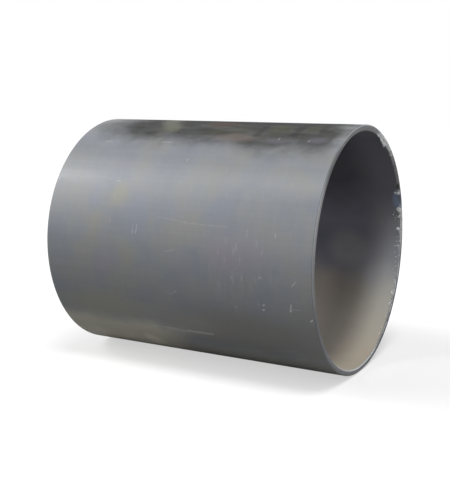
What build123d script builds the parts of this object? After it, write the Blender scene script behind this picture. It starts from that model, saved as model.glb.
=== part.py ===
from build123d import *
import os
from math import cos, radians, sin

# A short length of PVC-U drain pipe, extruded in one piece and sawn square at both ends.
# The pipe lies along X on the plane Z = 0, half its length to each side of X = 0.
# All lengths are in millimetres and all angles in degrees.

# Section of the pipe, as in the standard range for buried drains (SDR 41)
outside_diameter = 315.0
wall_thickness = 7.7

# Distance from one sawn end to the other
pipe_length = 378.0

# Edges left by the rasp and the scraper round each cut
outer_edge_break = 1.5
inner_bevel = 2.0

# Chips knocked out of the inner edge at the +X end, where the saw broke through.
# Each has its place round the rim, clockwise from the top as seen by someone facing
# that end, then its length along the edge and its depth below the bevel.
rim_chips = [
    (33.0, 20.0, 0.9),
    (64.0, 13.0, 2.4),
    (71.0, 22.0, 1.3),
    (80.5, 11.0, 0.9),
    (89.0, 9.0, 0.8),
    (96.0, 15.0, 1.2),
    (116.0, 14.0, 0.8),
    (127.0, 10.0, 0.7),
]
chip_facing = 45.0

outside_radius = outside_diameter / 2
bore_radius = outside_radius - wall_thickness
end_position = pipe_length / 2


# The wall seen in section above the axis, with its four corners bevelled.
def wall_section():
    middle_radius = bore_radius + wall_thickness / 2
    outline = Pos(0, middle_radius) * Rectangle(pipe_length, wall_thickness)
    outer_corners = outline.vertices().group_by(Axis.Y)[-1]
    outline = chamfer(outer_corners, outer_edge_break)
    inner_corners = outline.vertices().group_by(Axis.Y)[0]
    return chamfer(inner_corners, inner_bevel)


# A ball that cuts one shell-shaped chip. It meets the bevel at the +X end over the
# chip's length, and its centre lies out of the wall, towards the mouth and the axis.
def chip_cutter(clock_angle, chip_length, chip_depth):
    ball_radius = (chip_length**2 / 4 + chip_depth**2) / (2 * chip_depth)
    reach = ball_radius - chip_depth
    along = end_position - inner_bevel / 2 + reach * cos(radians(chip_facing))
    from_axis = bore_radius + inner_bevel / 2 - reach * sin(radians(chip_facing))
    across = from_axis * sin(radians(clock_angle))
    above_axis = from_axis * cos(radians(clock_angle))
    return Pos(along, across, above_axis) * Sphere(ball_radius)


def pipe():
    wall = revolve(wall_section(), Axis.X, 360)
    wall -= [chip_cutter(*chip) for chip in rim_chips]
    return Pos(0, 0, outside_radius) * wall


os.makedirs("parts", exist_ok=True)
export_step(pipe(), "parts/pipe.step")
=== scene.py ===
import bpy
import bmesh
import math
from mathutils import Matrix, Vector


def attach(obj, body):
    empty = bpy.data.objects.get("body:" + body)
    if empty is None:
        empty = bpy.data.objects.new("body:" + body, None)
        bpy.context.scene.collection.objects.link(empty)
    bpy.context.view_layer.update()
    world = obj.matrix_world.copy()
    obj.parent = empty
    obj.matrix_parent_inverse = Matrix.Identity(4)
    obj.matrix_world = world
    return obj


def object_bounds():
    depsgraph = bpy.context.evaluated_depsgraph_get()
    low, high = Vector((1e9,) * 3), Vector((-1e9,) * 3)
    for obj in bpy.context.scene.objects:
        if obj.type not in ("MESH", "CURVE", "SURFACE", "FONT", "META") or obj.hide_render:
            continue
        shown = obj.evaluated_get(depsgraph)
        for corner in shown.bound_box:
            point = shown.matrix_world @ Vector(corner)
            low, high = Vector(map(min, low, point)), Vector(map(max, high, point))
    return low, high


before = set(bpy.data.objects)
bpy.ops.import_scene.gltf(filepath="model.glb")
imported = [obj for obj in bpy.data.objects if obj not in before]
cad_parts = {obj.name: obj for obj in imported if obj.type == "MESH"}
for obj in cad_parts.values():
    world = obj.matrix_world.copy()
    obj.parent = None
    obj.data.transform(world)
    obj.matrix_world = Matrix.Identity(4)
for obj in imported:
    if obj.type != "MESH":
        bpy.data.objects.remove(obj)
cadLow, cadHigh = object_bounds()
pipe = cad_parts["pipe"]

# What is measured on the pipe itself, in metres
mm = 0.001
pipeLength = cadHigh.x - cadLow.x
pipeRadius = (cadHigh.z - cadLow.z) / 2
wallThickness = 7.7 * mm
boreRadius = pipeRadius - wallThickness
innerBevel = 2.0 * mm

# Most of a noise's values lie in this range
noiseRange = (0.3, 0.7)


def linearColour(hexText):
    # sRGB hex to linear RGBA
    parts = [int(hexText[i:i + 2], 16) / 255 for i in (0, 2, 4)]
    return [p / 12.92 if p <= 0.04045 else ((p + 0.055) / 1.055) ** 2.4 for p in parts] + [1.0]


def addNode(tree, kind, links=None, **settings):
    # One node with its settings. A link is input name or number: a node, a socket, a hex colour or a
    # plain value. "range" takes a pair of values for the inputs 1 and 2
    node = tree.nodes.new(kind)
    for name, value in settings.items():
        setattr(node, name, value)
    links = dict(links or {})
    if "range" in links:
        links[1], links[2] = links.pop("range")
    for name, value in links.items():
        if isinstance(value, str):
            value = linearColour(value)
        if isinstance(value, bpy.types.Node):
            value = next(output for output in value.outputs if output.enabled)
        if isinstance(value, bpy.types.NodeSocket):
            tree.links.new(value, node.inputs[name])
        else:
            node.inputs[name].default_value = value
    return node


def newMaterial(name):
    material = bpy.data.materials.new(name)
    material.use_nodes = True
    material.node_tree.nodes.clear()
    return material


# Angles round the pipe are clock degrees: 0 on top, -90 at the front, 90 at the back, 180 below
def unrolledPlace(along, clock):
    # mm along from the middle, clock degrees -> metres on the unrolled wall
    return (along * mm, math.radians(clock) * pipeRadius, 0.0)


def placesOnPipe(tree):
    # Sockets that tell the material where on the pipe it is
    tolerance = 0.3 * mm
    where = addNode(tree, "ShaderNodeTexCoord").outputs["Object"]
    centred = addNode(tree, "ShaderNodeMapping", {"Vector": where, "Location": (0, 0, -pipeRadius)})
    parts = addNode(tree, "ShaderNodeSeparateXYZ", {0: centred})
    sideways = addNode(tree, "ShaderNodeVectorMath", {0: centred, 1: (0, 1, 1)}, operation="MULTIPLY")
    radius = addNode(tree, "ShaderNodeVectorMath", {0: sideways}, operation="LENGTH").outputs["Value"]
    angle = addNode(tree, "ShaderNodeMath", {0: parts.outputs["Y"], 1: parts.outputs["Z"]},
                    operation="ARCTAN2")
    clock = addNode(tree, "ShaderNodeMath", {0: angle}, operation="DEGREES")
    around = addNode(tree, "ShaderNodeMath", {0: angle, 1: pipeRadius}, operation="MULTIPLY")
    unrolled = addNode(tree, "ShaderNodeCombineXYZ", {0: parts.outputs["X"], 1: around})
    outer = addNode(tree, "ShaderNodeMapRange", {
        0: radius, 1: pipeRadius - 2 * tolerance, 2: pipeRadius - tolerance})
    inner = addNode(tree, "ShaderNodeMapRange", {
        0: radius, 1: boreRadius + 2 * tolerance, 2: boreRadius + tolerance})
    fromMiddle = addNode(tree, "ShaderNodeMath", {0: parts.outputs["X"]}, operation="ABSOLUTE")
    endGap = addNode(tree, "ShaderNodeMath", {0: pipeLength / 2, 1: fromMiddle}, operation="SUBTRACT")
    return {
        "centred": centred, "along": parts.outputs["X"], "radius": radius, "clock": clock,
        "unrolled": unrolled, "outer": outer, "inner": inner, "endGap": endGap,
    }


def wobbled(tree, vector, size, reach):
    # The same vector pushed about by a noise of this size. The noise keeps within about a quarter
    # of its middle value, so four times the reach pushes it by up to the reach
    noise = addNode(tree, "ShaderNodeTexNoise", {"Vector": vector, "Scale": 1 / size, "Detail": 2.0})
    push = addNode(tree, "ShaderNodeVectorMath", {0: noise.outputs["Color"], 1: (0.5, 0.5, 0.5)},
                   operation="SUBTRACT")
    push = addNode(tree, "ShaderNodeVectorMath", {0: push, "Scale": 4 * reach}, operation="SCALE")
    return addNode(tree, "ShaderNodeVectorMath", {0: vector, 1: push}, operation="ADD")


def noiseAround(tree, vector, size, detail, middle, reach):
    # A noise of this size, and a value that it moves to each side of the middle by this reach
    noise = addNode(tree, "ShaderNodeTexNoise", {"Vector": vector, "Scale": 1 / size, "Detail": detail})
    value = addNode(tree, "ShaderNodeMapRange", {
        0: noise, "range": noiseRange, 3: middle - reach, 4: middle + reach})
    return noise, value


def stroke(tree, vector, mark):
    # A straight mark from one place to another, full near its middle line and soft at its sides
    startAlong, startClock, endAlong, endClock, width, strength = mark
    start = unrolledPlace(startAlong, startClock)
    end = unrolledPlace(endAlong, endClock)
    run = [b - a for a, b in zip(start, end)]
    lengthSquared = sum(v * v for v in run)
    fromStart = addNode(tree, "ShaderNodeVectorMath", {0: vector, 1: start}, operation="SUBTRACT")
    share = addNode(tree, "ShaderNodeVectorMath", {0: fromStart, 1: [v / lengthSquared for v in run]},
                    operation="DOT_PRODUCT").outputs["Value"]
    share = addNode(tree, "ShaderNodeClamp", {"Value": share})
    nearest = addNode(tree, "ShaderNodeVectorMath", {0: run, "Scale": share}, operation="SCALE")
    gap = addNode(tree, "ShaderNodeVectorMath", {0: fromStart, 1: nearest},
                  operation="DISTANCE").outputs["Value"]
    fadeStart = 0.2 * width * mm
    fadeEnd = 0.6 * width * mm
    return addNode(tree, "ShaderNodeMapRange", {0: gap, 1: fadeEnd, 2: fadeStart, 4: strength})


def patch(tree, vector, spot):
    # An oval patch on the wall, full over a quarter of its reach and soft from there on
    along, clock, halfLength, halfHeight, strength = spot
    fullShare = 0.25
    offset = addNode(tree, "ShaderNodeVectorMath", {0: vector, 1: unrolledPlace(along, clock)},
                     operation="SUBTRACT")
    offset = addNode(tree, "ShaderNodeVectorMath", {
        0: offset, 1: (1 / (halfLength * mm), 1 / (halfHeight * mm), 0)}, operation="MULTIPLY")
    reach = addNode(tree, "ShaderNodeVectorMath", {0: offset}, operation="LENGTH").outputs["Value"]
    return addNode(tree, "ShaderNodeMapRange", {0: reach, 1: 1.0, 2: fullShare, 4: strength},
                   interpolation_type="SMOOTHSTEP")


def strongest(tree, masks):
    # At each place the largest of these masks
    total = masks[0]
    for mask in masks[1:]:
        total = addNode(tree, "ShaderNodeMath", {0: total, 1: mask}, operation="MAXIMUM")
    return total


def paintSpots(tree, vector, colour, look, kind, shape=patch):
    # All spots of one kind laid over a colour. Gives the new colour, and the spots as a mask
    spots = strongest(tree, [shape(tree, vector, spot) for spot in look[kind]])
    return addNode(tree, "ShaderNodeMix", {
        0: spots, 6: colour, 7: look[kind + "Colour"]}, data_type="RGBA"), spots


# The outside: dull extruded grey, handled and stored in the open. Sizes are in metres.
# The rubbed field is a spot as in the dark top band: mm along, clock, half length, half height in mm,
# strength
wallLook = {
    "colour": "7b7e82",
    "coolTint": "777b82",
    "warmTint": "7e7f7e",
    "tintSize": 0.050,
    "tintEdges": (0.36, 0.64),
    "dieLinePitch": 0.004,
    "dieLineLength": 0.35,
    "dieLineShade": 0.025,
    "bandPitch": 0.011,
    "bandHeight": 0.2,
    "bandShade": 0.02,
    "rubbedField": (95, -95, 75, 75, 1.0),
    "mottleWidth": 0.006,
    "mottleHeight": 0.015,
    "mottleShade": 0.06,
}


def wallColour(tree, places):
    # Extruded wall: cool and warm clouds, fine lines along it, fainter bands round it
    clouds = addNode(tree, "ShaderNodeTexNoise", {
        "Vector": places["centred"], "Scale": 1 / wallLook["tintSize"], "Detail": 3.0, "Roughness": 0.6})
    colour = addNode(tree, "ShaderNodeValToRGB", {0: clouds})
    ramp = colour.color_ramp
    coolEdge, warmEdge = wallLook["tintEdges"]
    ramp.elements[0].position = coolEdge
    ramp.elements[0].color = linearColour(wallLook["coolTint"])
    ramp.elements[1].position = warmEdge
    ramp.elements[1].color = linearColour(wallLook["warmTint"])
    middle = ramp.elements.new(0.5)
    middle.color = linearColour(wallLook["colour"])
    along = addNode(tree, "ShaderNodeMapping", {"Vector": places["centred"], "Scale": (
        1 / wallLook["dieLineLength"], 1 / wallLook["dieLinePitch"], 1 / wallLook["dieLinePitch"])})
    places["dieLines"], shade = noiseAround(tree, along, 1.0, 3.0, 1, wallLook["dieLineShade"])
    across = addNode(tree, "ShaderNodeMapping", {"Vector": places["centred"], "Scale": (
        1 / wallLook["bandPitch"], 1 / wallLook["bandHeight"], 1 / wallLook["bandHeight"])})
    bandShade = noiseAround(tree, across, 1.0, 3.0, 1, wallLook["bandShade"])[1]
    shade = addNode(tree, "ShaderNodeMath", {0: shade, 1: bandShade}, operation="MULTIPLY")
    # upright mottling where the front is rubbed most
    upright = addNode(tree, "ShaderNodeMapping", {"Vector": places["unrolled"], "Scale": (
        1 / wallLook["mottleWidth"], 1 / wallLook["mottleHeight"], 1)})
    mottle = noiseAround(tree, upright, 1.0, 2.0, 0, wallLook["mottleShade"])[1]
    mottle = addNode(tree, "ShaderNodeMath", {
        0: mottle, 1: patch(tree, places["unrolled"], wallLook["rubbedField"]), 2: 1.0},
        operation="MULTIPLY_ADD")
    shade = addNode(tree, "ShaderNodeMath", {0: shade, 1: mottle}, operation="MULTIPLY")
    return addNode(tree, "ShaderNodeVectorMath", {0: colour, "Scale": shade}, operation="SCALE")


# Painted reflection of dark surroundings along the top, drawn as a ragged band of stain-coloured spots.
# Each spot: mm along, clock, half length, half height in mm, strength.
# Each pale or streak mark: mm along and clock at both ends, width in mm, strength.
# rightDrop lowers the band's low edge and leftRise lifts it: mm along from and to, clock degrees.
# Ragged: clock degrees at the low edge, times that at the far one, mm a degree at both ends
topReflectionLook = {
    "bandColour": "363634",
    "darkColour": "1f1f21",
    "streakColour": "29292a",
    "brownColour": "443831",
    "tanColour": "6d6560",
    "oliveColour": "3f4034",
    "paleColour": "66675c",
    "mauveColour": "57555d",
    "lowEdgeClock": (-40.0, -22.0),
    "rightDrop": (-30.0, 100.0, 4.2),
    "farEdgeClock": (46.0, 20.0),
    "leftRise": (-90.0, -190.0, -8.0),
    "leftEdge": (-215.0, -105.0),
    "rightEdge": (200.0, 163.0),
    "wobbleSize": 0.035,
    "wobble": 3.0,
    "raggedSize": 0.030,
    "ragged": (2.5, 3.0, 4.0),
    "blotchLength": 0.050,
    "blotchHeight": 0.016,
    "blotchRange": (0.30, 0.60),
    "blotchLeast": 0.80,
    "mauve": [(22, -30, 14, 10, 0.7), (104, -28.5, 20, 10, 0.7), (154, -27, 20, 10, 0.8)],
    "pale": [(-82, -5, -60, -19, 30, 0.7)],
    "olive": [(8, -21, 24, 12, 0.5), (42, -19, 26, 22, 0.4), (95, -15, 24, 26, 0.7),
              (136, -14, 18, 22, 0.7)],
    "brown": [(4, -10, 36, 20, 0.7)],
    "tan": [(46, -26, 44, 15, 0.6)],
    "dark": [(-112, -19, 34, 14, 0.3), (-104, -12, 30, 18, 0.6), (-83, -24.5, 14, 7, 0.6),
             (-36, -10, 22, 20, 0.7), (30, -5, 230, 27, 0.85), (-168, -17, 28, 34, 0.28),
             (24, -28.5, 34, 15, 0.22)],
    "streak": [(-60, -9, -4, -21, 22, 0.4), (71, -23, 71, -9, 12, 0.6),
               (121, -22, 118, -9, 12, 0.6), (152, -18, 151, -7, 11, 0.6)],
}


def paintedTopReflection(tree, places, colour):
    # A painted reflection of dark surroundings along the top: a ragged band that hangs lower on the near
    # half, with olive, brown and darker spots, one pale run and dark streaks across it
    vector = wobbled(tree, places["unrolled"], topReflectionLook["wobbleSize"], topReflectionLook["wobble"] * mm)
    lowRagged, farTimes, endTimes = topReflectionLook["ragged"]
    shift = noiseAround(tree, places["centred"], topReflectionLook["raggedSize"], 3.0, 0, lowRagged)[1]
    lowLevel = addNode(tree, "ShaderNodeMath", {0: places["clock"], 1: shift}, operation="ADD")
    for startAlong, endAlong, clockStep in (topReflectionLook["rightDrop"], topReflectionLook["leftRise"]):
        step = addNode(tree, "ShaderNodeMapRange", {
            0: places["along"], 1: startAlong * mm, 2: endAlong * mm, 4: clockStep},
            interpolation_type="SMOOTHSTEP")
        lowLevel = addNode(tree, "ShaderNodeMath", {0: lowLevel, 1: step}, operation="ADD")
    farLevel = addNode(tree, "ShaderNodeMath", {0: shift, 1: farTimes, 2: places["clock"]},
                       operation="MULTIPLY_ADD")
    along = addNode(tree, "ShaderNodeMath", {0: shift, 1: endTimes * mm, 2: places["along"]},
                    operation="MULTIPLY_ADD")
    edges = [(lowLevel, topReflectionLook["lowEdgeClock"], 1), (farLevel, topReflectionLook["farEdgeClock"], 1),
             (along, topReflectionLook["leftEdge"], mm), (along, topReflectionLook["rightEdge"], mm)]
    band = None
    for value, edge, unit in edges:
        side = addNode(tree, "ShaderNodeMapRange", {0: value, 1: edge[0] * unit, 2: edge[1] * unit},
                       interpolation_type="SMOOTHSTEP")
        band = side if band is None else addNode(
            tree, "ShaderNodeMath", {0: band, 1: side}, operation="MULTIPLY")
    stretched = addNode(tree, "ShaderNodeMapping", {"Vector": places["unrolled"], "Scale": (
        1 / topReflectionLook["blotchLength"], 1 / topReflectionLook["blotchHeight"], 1)})
    blotches = addNode(tree, "ShaderNodeTexNoise", {"Vector": stretched, "Scale": 1.0, "Detail": 4.0})
    blotches = addNode(tree, "ShaderNodeMapRange", {
        0: blotches, "range": topReflectionLook["blotchRange"], 3: topReflectionLook["blotchLeast"]})
    reflectionBand = addNode(tree, "ShaderNodeMath", {0: band, 1: blotches}, operation="MULTIPLY")
    colour = addNode(tree, "ShaderNodeMix", {
        0: reflectionBand, 6: colour, 7: topReflectionLook["bandColour"]}, data_type="RGBA")
    total = reflectionBand
    for kind in ("dark", "mauve", "pale", "olive", "brown", "tan", "streak"):
        shape = stroke if kind in ("pale", "streak") else patch
        colour, spots = paintSpots(tree, vector, colour, topReflectionLook, kind, shape)
        total = addNode(tree, "ShaderNodeMath", {0: total, 1: spots}, operation="MAXIMUM")
    return colour, total


# Pale mud low on the front, partly dried mud and partly a painted warm reflection of the ground, and
# faint tints. Each spot: mm along, clock, half length, half height in mm, strength.
# Each film: clock where it starts and where it is full, mm along likewise, strength.
# Ragged is in clock degrees
splashLook = {
    "filmColour": "aaa79b",
    "groundReflectionAndMudColour": "dcd6c6",
    "warmColour": "747372",
    "buffColour": "83847d",
    "oliveColour": "84847a",
    "coolColour": "757b89",
    "mauveColour": "807c86",
    "films": [(-122.5, -133, 20, -50, 1.0), (-133, -147, 260, 200, 0.45)],
    "filmLowEdge": (-178, -165),
    "raggedSize": 0.040,
    "ragged": 2.0,
    "wobbleSize": 0.045,
    "wobble": 6.0,
    # the pale mud spots are partly a painted warm reflection of the ground
    "groundReflectionAndMud": [(-64, -145, 28, 24, 0.75), (-64, -148, 24, 18, 0.9), (-125, -152, 130, 46, 0.65)],
    "warm": [(100, -124, 160, 52, 1.0)],
    "buff": [(-110, -119, 110, 34, 0.9), (14, -124, 60, 26, 0.5)],
    "olive": [(-84, -63, 20, 26, 0.8), (-66, -93, 16, 30, 0.5), (-112, -76, 14, 30, 0.3)],
    "cool": [(-52, -72, 26, 42, 0.6), (-118, -66, 16, 26, 0.5), (62, -68, 30, 22, 0.5),
             (-10, -70, 30, 20, 0.3)],
    "mauve": [(-100, -96, 22, 26, 0.5), (-138, -56, 16, 16, 0.4), (-92, -48, 18, 10, 0.4),
              (92, -86, 62, 42, 0.6), (20, -95, 22, 20, 0.3)],
}


def films(tree, places):
    # Thin pale films below a level line, each fading out along the pipe: partly dried mud and partly a
    # painted warm reflection of the ground
    shift = noiseAround(
        tree, places["centred"], splashLook["raggedSize"], 4.0, 0, splashLook["ragged"])[1]
    level = addNode(tree, "ShaderNodeMath", {0: places["clock"], 1: shift}, operation="ADD")
    lowStart, lowEnd = splashLook["filmLowEdge"]
    low = addNode(tree, "ShaderNodeMapRange", {0: places["clock"], 1: lowStart, 2: lowEnd},
                  interpolation_type="SMOOTHSTEP")
    masks = []
    for startClock, fullClock, startAlong, fullAlong, strength in splashLook["films"]:
        high = addNode(tree, "ShaderNodeMapRange", {0: level, 1: startClock, 2: fullClock},
                       interpolation_type="SMOOTHSTEP")
        side = addNode(tree, "ShaderNodeMapRange", {
            0: places["along"], 1: startAlong * mm, 2: fullAlong * mm, 4: strength},
            interpolation_type="SMOOTHSTEP")
        mask = addNode(tree, "ShaderNodeMath", {0: high, 1: side}, operation="MULTIPLY")
        masks.append(addNode(tree, "ShaderNodeMath", {0: mask, 1: low}, operation="MULTIPLY"))
    return masks


def groundReflectionAndMudSplash(tree, places, colour):
    # Pale patches low on the front, most of them on the far half, partly dried muddy water and partly a
    # painted warm reflection of the ground, and a few faint tints elsewhere
    vector = wobbled(tree, places["unrolled"], splashLook["wobbleSize"], splashLook["wobble"] * mm)
    for kind in ("warm", "buff"):
        colour = paintSpots(tree, vector, colour, splashLook, kind)[0]
    # pale films, partly dried mud and partly a painted warm reflection of the ground
    colour = addNode(tree, "ShaderNodeMix", {
        0: strongest(tree, films(tree, places)), 6: colour, 7: splashLook["filmColour"],
    }, data_type="RGBA")
    for kind in ("groundReflectionAndMud", "olive", "cool", "mauve"):
        colour = paintSpots(tree, vector, colour, splashLook, kind)[0]
    return colour


# Small handling marks: pecks here and there, and upright rubs, strongest on the near half of the
# front. Each cell draws a number: no mark below the first chosen value, a full one from the second.
# Each share is a mark's reach beside its cell, and it ends and is full at spotEdge times that
peckLook = {
    "regionsPerMetre": 14.0,
    "regionEdge": (0.42, 0.60),
    "chosen": (0.45, 0.95),
    "spotEdge": (1.6, 0.3),
    "peckSpacing": 0.013,
    "peckShare": 0.06,
    "peckStrength": 0.15,
    "rubWidth": 0.010,
    "rubHeight": 0.034,
    "rubShare": 0.12,
    "rubStrength": 0.05,
    "fieldStrength": 0.20,
}


def handlingMarks(tree, places):
    # Pecks and rubs from being rolled and stacked: a mark in some of the cells, none in the rest
    region = addNode(tree, "ShaderNodeTexNoise", {
        "Vector": places["centred"], "Scale": peckLook["regionsPerMetre"], "Detail": 1.0})
    pecked = addNode(tree, "ShaderNodeMapRange", {
        0: region, "range": peckLook["regionEdge"], 4: peckLook["peckStrength"]})
    rubbed = addNode(tree, "ShaderNodeMapRange", {
        0: patch(tree, places["unrolled"], wallLook["rubbedField"]),
        3: peckLook["rubStrength"], 4: peckLook["fieldStrength"]})
    masks = []
    for width, height, share, strength in (
            (peckLook["peckSpacing"], peckLook["peckSpacing"], peckLook["peckShare"], pecked),
            (peckLook["rubWidth"], peckLook["rubHeight"], peckLook["rubShare"], rubbed)):
        cells = addNode(tree, "ShaderNodeMapping", {
            "Vector": places["unrolled"], "Scale": (1 / width, 1 / height, 1)})
        cells = addNode(tree, "ShaderNodeTexVoronoi", {"Vector": cells, "Scale": 1.0},
                        voronoi_dimensions="2D")
        pick = addNode(tree, "ShaderNodeSeparateColor", {0: cells.outputs["Color"]})
        chosen = addNode(tree, "ShaderNodeMapRange", {
            0: pick.outputs["Red"], "range": peckLook["chosen"]})
        spot = addNode(tree, "ShaderNodeMapRange", {
            0: cells.outputs["Distance"], 1: share * peckLook["spotEdge"][0],
            2: share * peckLook["spotEdge"][1]})
        marks = addNode(tree, "ShaderNodeMath", {0: chosen, 1: spot}, operation="MULTIPLY")
        masks.append(addNode(tree, "ShaderNodeMath", {0: marks, 1: strength}, operation="MULTIPLY"))
    return strongest(tree, masks)


# Scratches that tell. Each: mm along and clock at both ends, width in mm, strength
scratchLook = {
    "colour": "b9bab9",
    "wobbleSize": 0.020,
    "wobble": 0.5,
    "skipSize": 0.006,
    "skipRange": (0.35, 0.55),
    "skipLeast": 0.45,
    "marks": [
        (-50, -128.8, 42, -128.6, 2.0, 0.60), (4, -128.7, 42, -128.6, 3.4, 0.60),
        (-26, -130.2, 34, -128.8, 7.0, 0.18), (-154, -138.8, -80, -135.0, 1.8, 0.45),
        (-176, -128, -60, -132, 1.2, 0.25),
        (19, -74.3, 79, -74.4, 1.2, 0.26), (-20, -72.5, 24, -74.2, 1.0, 0.18),
        (-54.5, -81.2, -54.2, -77.4, 1.2, 0.60), (-49.3, -80.9, -48.3, -77.0, 1.2, 0.60),
        (-6.3, -87.7, 8.0, -86.5, 1.3, 0.28), (-8.1, -106.4, -1.5, -107.6, 1.2, 0.45),
        (-1.5, -107.6, 7.0, -105.2, 1.2, 0.50), (162.8, -96.9, 169.1, -94.5, 1.3, 0.55),
        (159.4, -107.6, 160.8, -104.9, 1.8, 0.85), (158.6, -108.3, 160.2, -108.1, 2.6, 0.90),
        (160.3, -107.2, 171.4, -107.1, 1.2, 0.40),
        (124.7, -107.0, 126.2, -106.8, 2.4, 0.80), (123.8, -109.4, 125.4, -109.2, 2.4, 0.90),
        (85.0, -95.9, 86.4, -95.7, 2.6, 0.40), (122.4, -94.9, 123.8, -94.7, 2.8, 0.50),
        (87.2, -109.7, 88.8, -109.5, 2.6, 0.50),
        (183.2, -111.9, 185.4, -111.3, 2.2, 0.95), (125.1, -96.0, 125.2, -94.2, 1.2, 0.45),
        (91.9, -84.0, 92.0, -81.2, 1.2, 0.40), (98.0, -90.0, 97.8, -87.0, 1.2, 0.30),
        (125.5, -85.4, 125.6, -83.8, 1.2, 0.35), (141.0, -77.2, 141.2, -75.6, 1.3, 0.45),
        (104.4, -78.0, 104.5, -74.8, 1.0, 0.35), (88.4, -86.6, 88.2, -83.8, 1.0, 0.30),
        (87.0, -97.0, 87.2, -92.6, 1.0, 0.30), (-73.0, -114.8, -72.6, -113.6, 1.4, 0.40),
        (-90.2, -77.0, -89.9, -75.2, 1.3, 0.35), (-2.9, -44.2, -1.9, -43.2, 1.6, 0.40),
        (-92, -57.1, -87, -56.9, 1.6, 0.40), (-142, -33.2, -133, -33.0, 2.6, 0.35),
        (-56, -32.3, -41, -32.0, 2.4, 0.35), (105.1, -27.4, 105.2, -25.8, 1.4, 0.40),
        (145.2, -28.2, 145.6, -27.0, 1.6, 0.45), (128.7, -133.3, 167.6, -134.6, 1.2, 0.35),
        (54.3, -140.4, 157.3, -131.6, 1.2, 0.32), (152, -147.5, 158, -147.2, 2.0, 0.35),
        (30, 62, 96, 60, 1.2, 0.35), (-120, 96, -60, 99, 1.2, 0.40), (-30, 118, -26, 112, 1.2, 0.50),
        (70, 84, 74, 90, 1.3, 0.45), (110, 130, 165, 127, 1.2, 0.30), (-150, 70, -149, 75, 1.2, 0.40),
    ],
}


def scratches(tree, places):
    # Single marks that tell, each a little uneven
    vector = wobbled(tree, places["unrolled"], scratchLook["wobbleSize"], scratchLook["wobble"] * mm)
    marks = strongest(tree, [stroke(tree, vector, mark) for mark in scratchLook["marks"]])
    # a scratch skips here and there
    skips = addNode(tree, "ShaderNodeTexNoise", {
        "Vector": places["centred"], "Scale": 1 / scratchLook["skipSize"], "Detail": 2.0})
    skips = addNode(tree, "ShaderNodeMapRange", {
        0: skips, "range": scratchLook["skipRange"], 3: scratchLook["skipLeast"]})
    return addNode(tree, "ShaderNodeMath", {0: marks, 1: skips}, operation="MULTIPLY")


# Inside: a film of dried silt along the bottom, palest at the mouths and darkest a little further in;
# the paleness at the mouths is partly dust and partly painted light coming in at the open end. Each
# Clock is in degrees from the top, each Reach in metres from the nearer end, and the deep upper shades
# give painted shade on the bare upper wall at these clocks
siltLook = {
    "wallColour": "797983",
    # painted shade: the bare upper wall deep inside, darker towards the top, paler at the flank
    "ceilingShade": [(60, "5b5b66"), (72, "6e6e7a"), (84, "828290"), (96, "727280"), (110, "70707b")],
    "mouthLightColour": "9a9ba2",
    "filmColour": "76716a",
    "deepColour": "938c84",
    "greyColour": "b2b2ad",
    "warmColour": "a79e8f",
    "ceilingShadeReach": (0.020, 0.075),
    "upperClock": (100.0, 126.0),
    "mouthLitUpperClock": (68.0, 84.0),
    "warmClock": (110.0, 165.0),
    "mouthReach": (0.062, 0.012),
    "deepReach": (0.070, 0.110),
    "blotchSize": 0.040,
    "blotchShade": 0.04,
    "ragged": 3.0,
    "dusty": (112, 100, 44, 36, 0.35),
}


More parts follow.
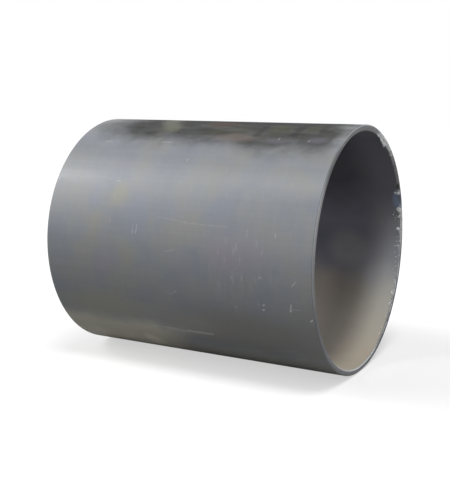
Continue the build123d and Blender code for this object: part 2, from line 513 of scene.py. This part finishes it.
def siltedBore(tree, places):
    # Bare above, a brown film below that is paler towards each mouth, partly dust and partly painted
    # light;
    # the bare upper wall has painted light near the mouth and painted shade deep inside
    fromTop = addNode(tree, "ShaderNodeMath", {0: places["clock"]}, operation="ABSOLUTE")
    ragged, shift = noiseAround(
        tree, places["centred"], siltLook["blotchSize"], 4.0, 0, siltLook["ragged"])
    level = addNode(tree, "ShaderNodeMath", {0: fromTop, 1: shift}, operation="ADD")
    silt = addNode(tree, "ShaderNodeMapRange", {0: level, "range": siltLook["upperClock"]},
                   interpolation_type="SMOOTHSTEP")
    mouth = addNode(tree, "ShaderNodeMapRange", {0: places["endGap"], "range": siltLook["mouthReach"]},
                    interpolation_type="SMOOTHSTEP")
    deep = addNode(tree, "ShaderNodeMapRange", {0: places["endGap"], "range": siltLook["deepReach"]},
                   interpolation_type="SMOOTHSTEP")
    warm = addNode(tree, "ShaderNodeMapRange", {0: level, "range": siltLook["warmClock"]})
    # near the mouths the film is paler: partly dust, partly painted light from the open end
    pale = addNode(tree, "ShaderNodeMix", {
        0: warm, 6: siltLook["greyColour"], 7: siltLook["warmColour"]}, data_type="RGBA")
    deposit = addNode(tree, "ShaderNodeMix", {
        0: deep, 6: siltLook["filmColour"], 7: siltLook["deepColour"]}, data_type="RGBA")
    deposit = addNode(tree, "ShaderNodeMix", {0: mouth, 6: deposit, 7: pale}, data_type="RGBA")
    cloud = addNode(tree, "ShaderNodeMapRange", {
        0: ragged, "range": noiseRange, 3: 1 - siltLook["blotchShade"], 4: 1 + siltLook["blotchShade"]})
    deposit = addNode(tree, "ShaderNodeVectorMath", {0: deposit, "Scale": cloud}, operation="SCALE")
    # painted light on the bare upper wall near the mouth
    mouthLitUpper = addNode(tree, "ShaderNodeMapRange", {
        0: level, "range": siltLook["mouthLitUpperClock"]})
    mouthLitUpper = addNode(tree, "ShaderNodeMath", {0: mouthLitUpper, 1: mouth}, operation="MULTIPLY")
    # painted shade on the bare upper wall deep inside, darker towards the top, paler at the flank
    shades = siltLook["ceilingShade"]
    firstClock, lastClock = shades[0][0], shades[-1][0]
    ceilingShade = addNode(tree, "ShaderNodeMapRange", {0: level, 1: firstClock, 2: lastClock})
    ceilingShade = addNode(tree, "ShaderNodeValToRGB", {0: ceilingShade})
    elements = ceilingShade.color_ramp.elements
    while len(elements) < len(shades):
        elements.new(1.0)
    for element, (clock, hexText) in zip(elements, shades):
        element.position = (clock - firstClock) / (lastClock - firstClock)
        element.color = linearColour(hexText)
    inside = addNode(tree, "ShaderNodeMapRange", {
        0: places["endGap"], "range": siltLook["ceilingShadeReach"]}, interpolation_type="SMOOTHSTEP")
    colour = addNode(tree, "ShaderNodeMix", {
        0: inside, 6: siltLook["wallColour"], 7: ceilingShade}, data_type="RGBA")
    colour = addNode(tree, "ShaderNodeMix", {
        0: mouthLitUpper, 6: colour, 7: siltLook["mouthLightColour"]}, data_type="RGBA")
    colour = addNode(tree, "ShaderNodeMix", {0: silt, 6: colour, 7: deposit}, data_type="RGBA")
    dusty = patch(tree, places["unrolled"], siltLook["dusty"])
    colour = addNode(tree, "ShaderNodeMix", {
        0: dusty, 6: colour, 7: siltLook["greyColour"]}, data_type="RGBA")
    return colour, silt


# The sawn ends: straight saw lines, a pale rasped outer edge, and a torn inner edge gone white; both
# edges are also painted paler as a highlight.
# Each spot: mm along, clock, half length, half height in mm, strength. Torn spots whiten the inner
# edge and torn face spots the whole cut
cutLook = {
    "colour": "87888b",
    "outerEdgeColour": "9fa1a4",
    "innerEdgeColour": "b9babd",
    "whiteColour": "e4e5e6",
    # bluish patch by the biggest chip: painted reflection on the wall, painted shade on the cut
    "chipShadeAndReflection": (185, 71.5, 10, 20, 0.85),
    "chipShadeAndReflectionWallColour": "93a4c2",
    "chipShadeAndReflectionCutColour": "525d6e",
    # painted shadow in the chip's hollow at the inner edge
    "chipShadow": (188, 64, 9, 9, 0.9),
    "chipShadowColour": "2b2a20",
    # lighter and darker spots on the cut by clock; the wide darker one on the far side is painted shade
    "lighterCut": [(189, -70, 20, 56, 0.55)],
    "lighterCutColour": "b4b6b9",
    "darkerCut": [(189, 133, 20, 130, 0.75), (189, 54, 20, 30, 0.5), (189, -41, 20, 44, 0.55),
              (189, -118, 20, 56, 0.3)],
    "darkerCutColour": "505257",
    "recess": (0.05, 0.25),
    "sawPitch": 0.0016,
    "sawLength": 0.05,
    "sawSlant": 12.0,
    "sawShade": 0.15,
    "sawDepth": 0.12,
    "tornSize": 0.003,
    "tornRange": (0.36, 0.50),
    "torn": [(189, 30, 20, 30, 1.0), (189, 50, 20, 40, 0.2), (189, 84, 20, 30, 0.9),
             (189, 120, 20, 60, 0.4), (189, 160, 20, 60, 0.2)],
    "tornFace": [(189, 30, 20, 42, 1.0), (189, 81, 20, 50, 0.8)],
}


def sawnEnd(tree, places):
    # Saw lines across the whole end, all one way. Whatever lies back from the cut by the recess, in mm,
    # is a rasped edge and paler, partly as a painted highlight
    turned = addNode(tree, "ShaderNodeMapping", {
        "Vector": places["centred"], "Rotation": (math.radians(cutLook["sawSlant"]), 0, 0),
        "Scale": (1 / cutLook["sawLength"], 1 / cutLook["sawLength"], 1 / cutLook["sawPitch"])})
    lines, shade = noiseAround(tree, turned, 1.0, 2.0, 1, cutLook["sawShade"])
    colour = addNode(tree, "ShaderNodeVectorMath", {
        0: linearColour(cutLook["colour"])[:3], "Scale": shade}, operation="SCALE")
    recessed = addNode(tree, "ShaderNodeMapRange", {
        0: places["endGap"], 1: cutLook["recess"][0] * mm, 2: cutLook["recess"][1] * mm})
    middle = (pipeRadius + boreRadius) / 2
    inward = addNode(tree, "ShaderNodeMath", {0: places["radius"], 1: middle}, operation="LESS_THAN")
    # the edges are paler: rasped on the outside, torn on the inside, and partly a painted highlight
    edgeColour = addNode(tree, "ShaderNodeMix", {
        0: inward, 6: cutLook["outerEdgeColour"], 7: cutLook["innerEdgeColour"]}, data_type="RGBA")
    colour = addNode(tree, "ShaderNodeMix", {0: recessed, 6: colour, 7: edgeColour}, data_type="RGBA")
    # painted shadow: the chip's hollow on the inner half of the cut made near black
    chipShadow = patch(tree, places["unrolled"], cutLook["chipShadow"])
    chipShadow = addNode(tree, "ShaderNodeMath", {0: chipShadow, 1: recessed}, operation="MULTIPLY")
    chipShadow = addNode(tree, "ShaderNodeMath", {0: chipShadow, 1: inward}, operation="MULTIPLY")
    # lighter and darker spots by clock; the wide darker one on the far side is painted shade
    for kind in ("lighterCut", "darkerCut"):
        colour = paintSpots(tree, places["unrolled"], colour, cutLook, kind)[0]
    stretches = strongest(tree, [patch(tree, places["unrolled"], spot) for spot in cutLook["torn"]])
    tears = addNode(tree, "ShaderNodeTexNoise", {
        "Vector": places["centred"], "Scale": 1 / cutLook["tornSize"], "Detail": 3.0})
    tears = addNode(tree, "ShaderNodeMapRange", {0: tears, "range": cutLook["tornRange"]})
    onEdge = addNode(tree, "ShaderNodeMath", {0: recessed, 1: inward}, operation="MULTIPLY")
    torn = addNode(tree, "ShaderNodeMath", {0: stretches, 1: onEdge}, operation="MULTIPLY")
    onFace = strongest(tree, [patch(tree, places["unrolled"], spot) for spot in cutLook["tornFace"]])
    torn = addNode(tree, "ShaderNodeMath", {0: torn, 1: onFace}, operation="MAXIMUM")
    torn = addNode(tree, "ShaderNodeMath", {0: torn, 1: tears}, operation="MULTIPLY")
    colour = addNode(tree, "ShaderNodeMix", {
        0: torn, 6: colour, 7: cutLook["whiteColour"]}, data_type="RGBA")
    return addNode(tree, "ShaderNodeMix", {
        0: chipShadow, 6: colour, 7: cutLook["chipShadowColour"]}, data_type="RGBA"), lines


# How the whole surface takes light. Depths are in mm, sizes in metres. Real grain is too fine to
# show, so it is drawn coarser
finishLook = {
    "roughness": 0.28,
    "topReflectionRoughness": 1.0,
    # the painted reflection band along the top is matt
    "siltRoughness": 0.90,
    "cutRoughness": 0.70,
    "ior": 1.53,
    "specular": 0.3,
    "grainSize": 0.0016,
    "grainDepth": 0.012,
    "dieLineDepth": 0.02,
}


def scuffedPvc():
    # Extruded PVC-U, weathered: dull grey with a soft sheen, pale where scratched or sawn
    material = newMaterial("weathered_grey_pvc")
    tree = material.node_tree
    places = placesOnPipe(tree)
    colour = wallColour(tree, places)
    colour = groundReflectionAndMudSplash(tree, places, colour)
    # the dark band along the top is a painted reflection of dark surroundings
    colour, topReflectionMask = paintedTopReflection(tree, places, colour)
    marks = strongest(tree, [scratches(tree, places), handlingMarks(tree, places)])
    colour = addNode(tree, "ShaderNodeMix", {
        0: marks, 6: colour, 7: scratchLook["colour"]}, data_type="RGBA")
    boreColour, silt = siltedBore(tree, places)
    endColour, sawLines = sawnEnd(tree, places)
    allColour = addNode(tree, "ShaderNodeMix", {0: places["outer"], 6: endColour, 7: colour},
                        data_type="RGBA")
    allColour = addNode(tree, "ShaderNodeMix", {0: places["inner"], 6: allColour, 7: boreColour},
                        data_type="RGBA")
    # a bluish patch below the biggest chip, over the wall and the cut: a painted reflection on the wall
    # and painted shade on the cut
    chipShadeAndReflection = patch(tree, places["unrolled"], cutLook["chipShadeAndReflection"])
    onTheOutside = addNode(tree, "ShaderNodeMath", {0: 1.0, 1: places["outer"]}, operation="SUBTRACT")
    chipShadeAndReflection = addNode(tree, "ShaderNodeMath", {0: chipShadeAndReflection, 1: onTheOutside}, operation="MULTIPLY")
    chipShadeAndReflectionColour = addNode(tree, "ShaderNodeMix", {
        0: places["inner"], 6: cutLook["chipShadeAndReflectionCutColour"], 7: cutLook["chipShadeAndReflectionWallColour"],
    }, data_type="RGBA")
    allColour = addNode(tree, "ShaderNodeMix", {0: chipShadeAndReflection, 6: allColour, 7: chipShadeAndReflectionColour}, data_type="RGBA")
    wallRoughness = addNode(tree, "ShaderNodeMapRange", {
        0: topReflectionMask, 3: finishLook["roughness"], 4: finishLook["topReflectionRoughness"]})
    boreRoughness = addNode(tree, "ShaderNodeMapRange", {
        0: silt, 3: finishLook["roughness"], 4: finishLook["siltRoughness"]})
    roughness = addNode(tree, "ShaderNodeMix", {
        0: places["outer"], 2: finishLook["cutRoughness"], 3: wallRoughness})
    roughness = addNode(tree, "ShaderNodeMix", {0: places["inner"], 2: roughness, 3: boreRoughness})
    # heights in mm
    grain = addNode(tree, "ShaderNodeTexNoise", {
        "Vector": places["centred"], "Scale": 1 / finishLook["grainSize"], "Detail": 3.0})
    height = addNode(tree, "ShaderNodeMath", {0: grain, 1: finishLook["grainDepth"]},
                     operation="MULTIPLY")
    height = addNode(tree, "ShaderNodeMath", {
        0: places["dieLines"], 1: finishLook["dieLineDepth"], 2: height}, operation="MULTIPLY_ADD")
    sawHeight = addNode(tree, "ShaderNodeMath", {0: sawLines, 1: cutLook["sawDepth"]},
                        operation="MULTIPLY")
    onWalls = addNode(tree, "ShaderNodeMath", {0: places["outer"], 1: places["inner"]},
                      operation="MAXIMUM")
    height = addNode(tree, "ShaderNodeMix", {0: onWalls, 2: sawHeight, 3: height})
    bump = addNode(tree, "ShaderNodeBump", {"Distance": mm, "Height": height})
    shader = addNode(tree, "ShaderNodeBsdfPrincipled", {
        "Base Color": allColour, "Roughness": roughness, "IOR": finishLook["ior"],
        "Specular IOR Level": finishLook["specular"], "Normal": bump})
    addNode(tree, "ShaderNodeOutputMaterial", {"Surface": shader})
    return material


pipe.data.materials[0] = scuffedPvc()
print("pipe finish done")


# Torn burr left by the saw on the inner edge of the near end: ragged lips along the edge,
# with crumbs and curls of swarf that still hang on.
# Each lip: first clock, sweep, how far it stands off the edge in mm, thickness in mm.
# Each tuft: first clock, sweep, crumbs, curls, size in mm, first and last depth into the pipe in mm.
# Lip step and overlap are in mm, the torn size in metres, and the seed steps keep the bits apart
burrLook = {
    "lips": [
        (15.0, 18.0, 4.5, 1.0), (21.0, 12.0, 8.5, 1.4), (31.0, 9.0, 3.4, 0.9), (66.2, 2.2, 6.0, 1.2),
        (76.0, 6.0, 3.0, 0.8), (86.0, 3.5, 3.2, 0.9), (92.0, 5.0, 2.2, 0.6), (104.0, 12.0, 2.0, 0.6),
        (116.0, 8.0, 2.6, 0.7), (128.0, 6.0, 2.2, 0.7), (139.0, 9.0, 1.8, 0.6), (158.0, 14.0, 1.4, 0.5),
        (180.0, 16.0, 1.2, 0.5),
    ],
    "tufts": [
        (18, 15, 12, 0, 2.8, -0.8, 0.8), (32, 10, 9, 0, 2.6, -0.6, 1.5), (44, 18, 6, 0, 1.2, 0.2, 2.0),
        (66.8, 1.0, 12, 0, 3.2, 1.0, 7.0), (76.4, 2.0, 9, 3, 5.0, 1.0, 4.2),
        (79.8, 1.6, 8, 2, 4.4, 1.0, 4.4), (79.8, 0.4, 2, 0, 2.6, 10.0, 11.5),
        (77, 7, 12, 2, 1.8, 3.0, 9.0), (84, 9, 8, 1, 1.6, 1.0, 7.0), (87.3, 1.0, 12, 0, 5.6, 2.0, 5.2),
        (94.2, 0.3, 7, 0, 2.2, 1.0, 7.5), (96.6, 0.4, 6, 0, 2.2, 1.0, 8.0),
        (99, 14, 9, 2, 1.7, 1.0, 8.0), (106, 24, 14, 2, 1.6, 0.5, 4.5),
        (114.6, 2.2, 6, 0, 2.4, 0.8, 3.0), (120.8, 2.0, 6, 0, 2.4, 1.5, 4.0),
        (126.4, 2.4, 5, 1, 2.2, 1.5, 3.5), (133, 16, 10, 1, 1.6, 0.0, 4.0),
        (155, 40, 10, 0, 1.1, 0.2, 1.5), (-160, 120, 12, 0, 0.8, 0.3, 1.2),
    ],
    "lipStep": 0.6,
    "lipWeld": 0.01,
    "lipOverlap": 0.3,
    "lipTeethPerRadian": 75.0,
    "lipLeast": 0.15,
    "lipFull": 0.3,
    "bitSpread": (0.55, 1.15),
    "bitGap": 0.1,
    "crumbDents": 2.3,
    "crumbSides": (1.0, 0.7, 0.45),
    "tornSize": 0.0012,
    "tornRange": (0.35, 0.65),
    "colour": "f4f5f6",
    "tornColour": "dddfe1",
    "roughness": 0.45,
    "seed": 5,
    "lipSeedStep": 10.0,
    "tuftSeedStep": 100,
    "curlSeedStep": 40,
}


def tornPvc():
    # Torn PVC goes pale, as a bent ruler does: a matt off-white crumb
    material = newMaterial("torn_whitened_pvc")
    tree = material.node_tree
    where = addNode(tree, "ShaderNodeTexCoord").outputs["Object"]
    noise = addNode(tree, "ShaderNodeTexNoise", {
        "Vector": where, "Scale": 1 / burrLook["tornSize"], "Detail": 2.0})
    share = addNode(tree, "ShaderNodeMapRange", {0: noise, "range": burrLook["tornRange"]})
    colour = addNode(tree, "ShaderNodeMix", {
        0: share, 6: burrLook["tornColour"], 7: burrLook["colour"]}, data_type="RGBA")
    shader = addNode(tree, "ShaderNodeBsdfPrincipled", {
        "Base Color": colour, "Roughness": burrLook["roughness"], "IOR": finishLook["ior"]})
    addNode(tree, "ShaderNodeOutputMaterial", {"Surface": shader})
    return material


def crumbShape(tree):
    # A flat torn crumb about 1 across, of 80 faces
    ball = addNode(tree, "GeometryNodeMeshIcoSphere", {"Radius": 0.5, "Subdivisions": 2})
    dents = addNode(tree, "ShaderNodeTexNoise", {"Scale": burrLook["crumbDents"], "Detail": 1.0})
    push = addNode(tree, "ShaderNodeVectorMath", {0: dents.outputs["Color"], 1: (0.5, 0.5, 0.5)},
                   operation="SUBTRACT")
    dented = addNode(tree, "GeometryNodeSetPosition", {"Geometry": ball, "Offset": push})
    return addNode(tree, "GeometryNodeTransform", {
        "Geometry": dented, "Scale": burrLook["crumbSides"]})


def curlShape(tree):
    # A short curl of swarf about 1 across: a ribbon on a spiral
    spine = addNode(tree, "GeometryNodeCurveSpiral", {
        "Resolution": 9, "Rotations": 0.85, "Start Radius": 0.35, "End Radius": 0.6, "Height": 0.5})
    ribbon = addNode(tree, "GeometryNodeCurvePrimitiveQuadrilateral", {"Width": 0.4, "Height": 0.12})
    return addNode(tree, "GeometryNodeCurveToMesh", {
        "Curve": spine, "Profile Curve": ribbon, "Fill Caps": True})


def newTree(name, inputs):
    # A node group with these named inputs and one geometry output
    tree = bpy.data.node_groups.new(name, "GeometryNodeTree")
    for inputName, kind in inputs:
        tree.interface.new_socket(inputName, in_out="INPUT", socket_type="NodeSocket" + kind)
    tree.interface.new_socket("Geometry", in_out="OUTPUT", socket_type="NodeSocketGeometry")
    return tree, addNode(tree, "NodeGroupInput").outputs


def placeOnEdge(tree, angle, depth, reach):
    # A point this deep in from the near end, at this radius and this angle from the top
    sine = addNode(tree, "ShaderNodeMath", {0: angle}, operation="SINE")
    cosine = addNode(tree, "ShaderNodeMath", {0: angle}, operation="COSINE")
    x = addNode(tree, "ShaderNodeMath", {0: pipeLength / 2, 1: depth}, operation="SUBTRACT")
    y = addNode(tree, "ShaderNodeMath", {0: reach, 1: sine}, operation="MULTIPLY")
    z = addNode(tree, "ShaderNodeMath", {0: reach, 1: cosine, 2: pipeRadius}, operation="MULTIPLY_ADD")
    return addNode(tree, "ShaderNodeCombineXYZ", {0: x, 1: y, 2: z})


def finishTree(tree, geometry, material):
    real = addNode(tree, "GeometryNodeRealizeInstances", {"Geometry": geometry})
    finished = addNode(tree, "GeometryNodeSetMaterial", {"Geometry": real, "Material": material})
    addNode(tree, "NodeGroupOutput", {"Geometry": finished})
    return tree


def tuftTree(material):
    # Crumbs and curls scattered on the inner bevel and the wall just inside it, along one arc
    tree, given = newTree("tuft", (
        ("First angle", "Float"), ("Last angle", "Float"), ("Crumbs", "Int"), ("Curls", "Int"),
        ("Size", "Float"), ("First depth", "Float"), ("Last depth", "Float"), ("Seed", "Int")))
    join = addNode(tree, "GeometryNodeJoinGeometry")
    bits = (("Crumbs", crumbShape(tree), 0), ("Curls", curlShape(tree), burrLook["curlSeedStep"]))
    for countName, shape, seedStep in bits:
        seeds = [addNode(tree, "ShaderNodeMath", {0: given["Seed"], 1: seedStep + step}, operation="ADD")
                 for step in range(4)]
        angle = addNode(tree, "FunctionNodeRandomValue", {
            2: given["First angle"], 3: given["Last angle"], 8: seeds[0]})
        depth = addNode(tree, "FunctionNodeRandomValue", {
            2: given["First depth"], 3: given["Last depth"], 8: seeds[1]})
        # the 45 degree bevel, then the straight bore
        flare = addNode(tree, "ShaderNodeMath", {0: innerBevel, 1: depth}, operation="SUBTRACT")
        flare = addNode(tree, "ShaderNodeClamp", {"Value": flare, "Min": 0.0, "Max": innerBevel})
        reach = addNode(tree, "ShaderNodeMath", {
            0: flare, 1: boreRadius + burrLook["bitGap"] * mm}, operation="ADD")
        place = placeOnEdge(tree, angle, depth, reach)
        points = addNode(tree, "GeometryNodePoints", {"Count": given[countName], "Position": place})
        turn = addNode(tree, "FunctionNodeRandomValue", {
            0: (0, 0, 0), 1: (2 * math.pi, 2 * math.pi, 2 * math.pi), 8: seeds[2]},
            data_type="FLOAT_VECTOR")
        scale = addNode(tree, "FunctionNodeRandomValue", {
            2: burrLook["bitSpread"][0] * mm, 3: burrLook["bitSpread"][1] * mm, 8: seeds[3]})
        scale = addNode(tree, "ShaderNodeMath", {0: scale, 1: given["Size"]}, operation="MULTIPLY")
        placed = addNode(tree, "GeometryNodeInstanceOnPoints", {
            "Points": points, "Instance": shape, "Rotation": turn, "Scale": scale})
        tree.links.new(placed.outputs[0], join.inputs[0])
    return finishTree(tree, join, material)


def lipTree(material):
    # A ragged lip along the inner edge: a strip of diamond section that thins to nothing at its ends
    tree, given = newTree("lip", (
        ("First angle", "Float"), ("Last angle", "Float"), ("Steps", "Int"), ("Reach", "Float"),
        ("Thickness", "Float"), ("Seed", "Float")))
    strip = addNode(tree, "GeometryNodeMeshGrid", {
        "Size X": 1.0, "Size Y": 1.0, "Vertices X": given["Steps"], "Vertices Y": 5})
    where = addNode(tree, "ShaderNodeSeparateXYZ", {0: addNode(tree, "GeometryNodeInputPosition")})
    share = addNode(tree, "ShaderNodeMath", {0: where.outputs["X"], 1: 0.5}, operation="ADD")
    angle = addNode(tree, "ShaderNodeMapRange", {
        0: share, 3: given["First angle"], 4: given["Last angle"]})
    corner = addNode(tree, "ShaderNodeMath", {0: where.outputs["Y"], 1: 2 * math.pi},
                     operation="MULTIPLY")
    place = addNode(tree, "ShaderNodeMath", {
        0: angle, 1: burrLook["lipTeethPerRadian"], 2: given["Seed"]}, operation="MULTIPLY_ADD")
    ragged = addNode(tree, "ShaderNodeTexNoise", {"W": place, "Scale": 1.0, "Detail": 1.5},
                     noise_dimensions="1D")
    ragged = addNode(tree, "ShaderNodeMapRange", {
        0: ragged, "range": noiseRange, 3: burrLook["lipLeast"]})
    # full over the middle of the arc, nothing at both ends
    fromMiddle = addNode(tree, "ShaderNodeMath", {0: where.outputs["X"]}, operation="ABSOLUTE")
    taper = addNode(tree, "ShaderNodeMapRange", {0: fromMiddle, 1: 0.5, 2: burrLook["lipFull"]})
    ragged = addNode(tree, "ShaderNodeMath", {0: ragged, 1: taper}, operation="MULTIPLY")
    halfReach = addNode(tree, "ShaderNodeMath", {0: ragged, 1: given["Reach"]}, operation="MULTIPLY")
    halfReach = addNode(tree, "ShaderNodeMath", {0: halfReach, 1: 0.5}, operation="MULTIPLY")
    halfThick = addNode(tree, "ShaderNodeMath", {0: taper, 1: given["Thickness"]}, operation="MULTIPLY")
    halfThick = addNode(tree, "ShaderNodeMath", {0: halfThick, 1: 0.5}, operation="MULTIPLY")
    inward = addNode(tree, "ShaderNodeMath", {0: corner}, operation="COSINE")
    inward = addNode(tree, "ShaderNodeMath", {0: inward, 1: halfReach}, operation="MULTIPLY")
    across = addNode(tree, "ShaderNodeMath", {0: corner}, operation="SINE")
    across = addNode(tree, "ShaderNodeMath", {0: across, 1: halfThick}, operation="MULTIPLY")
    # it starts where the bevel meets the cut face, flush with the face, and hangs over the bevel
    start = addNode(tree, "ShaderNodeMath", {
        0: boreRadius + innerBevel - burrLook["lipOverlap"] * mm, 1: halfReach}, operation="SUBTRACT")
    reach = addNode(tree, "ShaderNodeMath", {0: start, 1: inward}, operation="ADD")
    depth = addNode(tree, "ShaderNodeMath", {0: given["Thickness"], 1: 0.5, 2: across},
                    operation="MULTIPLY_ADD")
    placed = addNode(tree, "GeometryNodeSetPosition", {
        "Geometry": strip, "Position": placeOnEdge(tree, angle, depth, reach)})
    closed = addNode(tree, "GeometryNodeMergeByDistance", {
        "Geometry": placed, "Distance": burrLook["lipWeld"] * mm})
    return finishTree(tree, closed, material)


def addToMesh(joined, tree, clock, sweep, values):
    # What this tree makes along one arc with these values, as plain mesh
    sockets = {item.name: item.identifier
               for item in tree.interface.items_tree if item.in_out == "INPUT"}
    carrier = bpy.data.objects.new("carrier", bpy.data.meshes.new("carrier"))
    bpy.context.scene.collection.objects.link(carrier)
    modifier = carrier.modifiers.new("made", "NODES")
    modifier.node_group = tree
    modifier[sockets["First angle"]] = math.radians(clock)
    modifier[sockets["Last angle"]] = math.radians(clock + sweep)
    for name, value in values.items():
        modifier[sockets[name]] = value
    graph = bpy.context.evaluated_depsgraph_get()
    mesh = bpy.data.meshes.new_from_object(carrier.evaluated_get(graph))
    joined.from_mesh(mesh)
    bpy.data.meshes.remove(mesh)
    bpy.data.objects.remove(carrier)


def makeBurr():
    # All lips and tufts, joined into one mesh
    material = tornPvc()
    joined = bmesh.new()
    lips = lipTree(material)
    for number, (clock, sweep, reach, thickness) in enumerate(burrLook["lips"]):
        steps = round(math.radians(sweep) * boreRadius / (burrLook["lipStep"] * mm)) + 2
        addToMesh(joined, lips, clock, sweep, {
            "Steps": steps, "Reach": reach * mm, "Thickness": thickness * mm,
            "Seed": burrLook["seed"] + burrLook["lipSeedStep"] * number})
    tufts = tuftTree(material)
    for number, tuft in enumerate(burrLook["tufts"]):
        clock, sweep, crumbs, curls, size, firstDepth, lastDepth = tuft
        addToMesh(joined, tufts, clock, sweep, {
            "Crumbs": crumbs, "Curls": curls, "Size": size,
            "First depth": firstDepth * mm, "Last depth": lastDepth * mm,
            "Seed": burrLook["seed"] + burrLook["tuftSeedStep"] * number})
    bmesh.ops.recalc_face_normals(joined, faces=joined.faces)
    mesh = bpy.data.meshes.new("saw_burr")
    joined.to_mesh(mesh)
    joined.free()
    mesh.materials.clear()
    mesh.materials.append(material)
    burr = bpy.data.objects.new("saw_burr", mesh)
    bpy.context.scene.collection.objects.link(burr)
    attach(burr, "root")


makeBurr()
print("burr done")

# Floor, white to the camera and mid grey to everything else
floorLook = {
    "size": 12.0,
    "seenColour": "ffffff",
    "bounceColour": "8c8c8c",
    "glow": 0.55,
}


def addFloor():
    half = floorLook["size"] / 2
    mesh = bpy.data.meshes.new("floor")
    corners = [(-half, -half, 0), (half, -half, 0), (half, half, 0), (-half, half, 0)]
    mesh.from_pydata(corners, [], [(0, 1, 2, 3)])
    floor = bpy.data.objects.new("floor", mesh)
    bpy.context.scene.collection.objects.link(floor)
    material = newMaterial("pale_floor")
    tree = material.node_tree
    path = addNode(tree, "ShaderNodeLightPath")
    colour = addNode(tree, "ShaderNodeMix", {
        0: path.outputs["Is Camera Ray"], 6: floorLook["bounceColour"], 7: floorLook["seenColour"],
    }, data_type="RGBA")
    lit = addNode(tree, "ShaderNodeBsdfDiffuse", {"Color": colour})
    # the camera sees it partly glowing white, which leaves a light shadow
    glow = addNode(tree, "ShaderNodeEmission", {"Strength": 1.0})
    glowShare = addNode(tree, "ShaderNodeMath", {
        0: path.outputs["Is Camera Ray"], 1: floorLook["glow"]}, operation="MULTIPLY")
    shader = addNode(tree, "ShaderNodeMixShader", {0: glowShare, 1: lit, 2: glow})
    addNode(tree, "ShaderNodeOutputMaterial", {"Surface": shader})
    mesh.materials.append(material)


addFloor()

# White surroundings for the camera and for reflections; the lamps give the light
skyLook = {
    "seenStrength": 1.0,
    "lightStrength": 0.07,
}


def addSky():
    world = bpy.data.worlds.new("sky")
    bpy.context.scene.world = world
    world.use_nodes = True
    tree = world.node_tree
    tree.nodes.clear()
    path = addNode(tree, "ShaderNodeLightPath")
    seen = addNode(tree, "ShaderNodeMath", {
        0: path.outputs["Is Camera Ray"], 1: path.outputs["Is Glossy Ray"],
    }, operation="MAXIMUM")
    seen = addNode(tree, "ShaderNodeMath", {
        0: seen, 1: path.outputs["Is Transmission Ray"],
    }, operation="MAXIMUM")
    strength = addNode(tree, "ShaderNodeMix", {
        0: seen, 2: skyLook["lightStrength"], 3: skyLook["seenStrength"],
    })
    shader = addNode(tree, "ShaderNodeBackground", {"Color": (1, 1, 1, 1), "Strength": strength})
    addNode(tree, "ShaderNodeOutputWorld", {"Surface": shader})


addSky()
print("floor and sky done")

# Soft lamps. Each: strength, elevation, azimuth (0 lights the front, 90 the open near end), spread
lampLook = {
    "key": (1.74, 70.0, 40.0, 22.0),
    "leftFill": (0.93, 38.0, -64.0, 40.0),
    "farEndFill": (0.45, 33.0, -82.0, 15.0),
    "lowLeftFill": (0.96, 20.0, -60.0, 40.0),
    "topLeftFill": (0.27, 60.0, -40.0, 20.0),
    "frontFill": (0.41, 20.0, 0.0, 40.0),
    "backFill": (0.82, 20.0, 130.0, 40.0),
    "sheen": (0.29, 41.0, -65.0, 6.0),
}


def addSun(name, strength, elevation, azimuth, spread):
    data = bpy.data.lights.new(name, "SUN")
    data.energy = strength
    data.angle = math.radians(spread)
    lamp = bpy.data.objects.new(name, data)
    bpy.context.scene.collection.objects.link(lamp)
    lamp.rotation_euler = (math.radians(90 - elevation), 0, math.radians(azimuth))


for lampName, lampValues in lampLook.items():
    addSun(lampName, *lampValues)
print("light done")

# The photograph's point of view
viewLook = {
    "position": (0.5819, -1.0610, 0.3642),
    "azimuth": 29.14,
    "downTilt": 7.72,
    "lens": 65.06,
    "sensorWidth": 36.0,
    "shiftY": -0.0863,
    "clipStart": 0.01,
}


def addCamera():
    data = bpy.data.cameras.new("camera")
    data.lens = viewLook["lens"]
    data.sensor_width = viewLook["sensorWidth"]
    data.shift_y = viewLook["shiftY"]
    data.clip_start = viewLook["clipStart"]
    camera = bpy.data.objects.new("camera", data)
    bpy.context.scene.collection.objects.link(camera)
    camera.location = viewLook["position"]
    camera.rotation_euler = (
        math.radians(90 - viewLook["downTilt"]), 0, math.radians(viewLook["azimuth"]))
    bpy.context.scene.camera = camera


addCamera()
print("camera done")

bpy.context.scene.view_settings.view_transform = "Standard"
